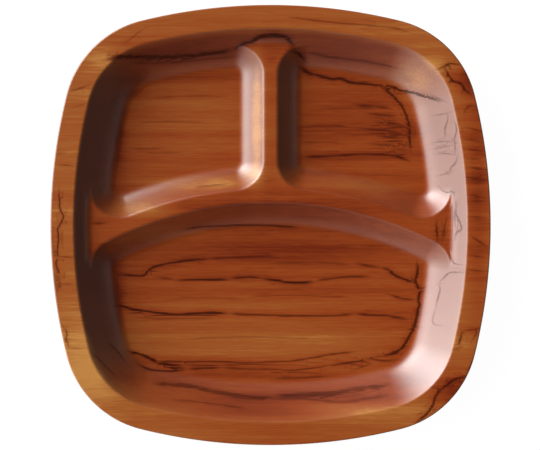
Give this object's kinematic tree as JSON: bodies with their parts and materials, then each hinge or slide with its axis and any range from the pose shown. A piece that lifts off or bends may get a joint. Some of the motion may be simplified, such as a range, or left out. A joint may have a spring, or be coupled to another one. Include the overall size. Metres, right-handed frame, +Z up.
{
  "type": "buffet plate",
  "caption": "Square wooden serving plate with bowed sides, a flat rim and low sloped dividers that part it into food compartments.",
  "frame": {"origin": "on the table under the plate's middle", "axes": "+Z up from the table, +Y towards the back edge with the two small compartments, +X to the right"},
  "size_m": [0.25, 0.25, 0.0235],
  "materials": {
    "lacquered_wood": "red-brown hardwood under clear satin lacquer",
    "wood_glue": "cured wood glue, sanded flush and lacquered over"
  },
  "bodies": {
    "root": {"front_stave": "lacquered_wood", "mid_front_stave": "lacquered_wood", "mid_back_stave": "lacquered_wood", "back_stave": "lacquered_wood", "glue_line_front": "wood_glue", "glue_line_middle": "wood_glue", "glue_line_back": "wood_glue"}
  },
  "joints": []
}
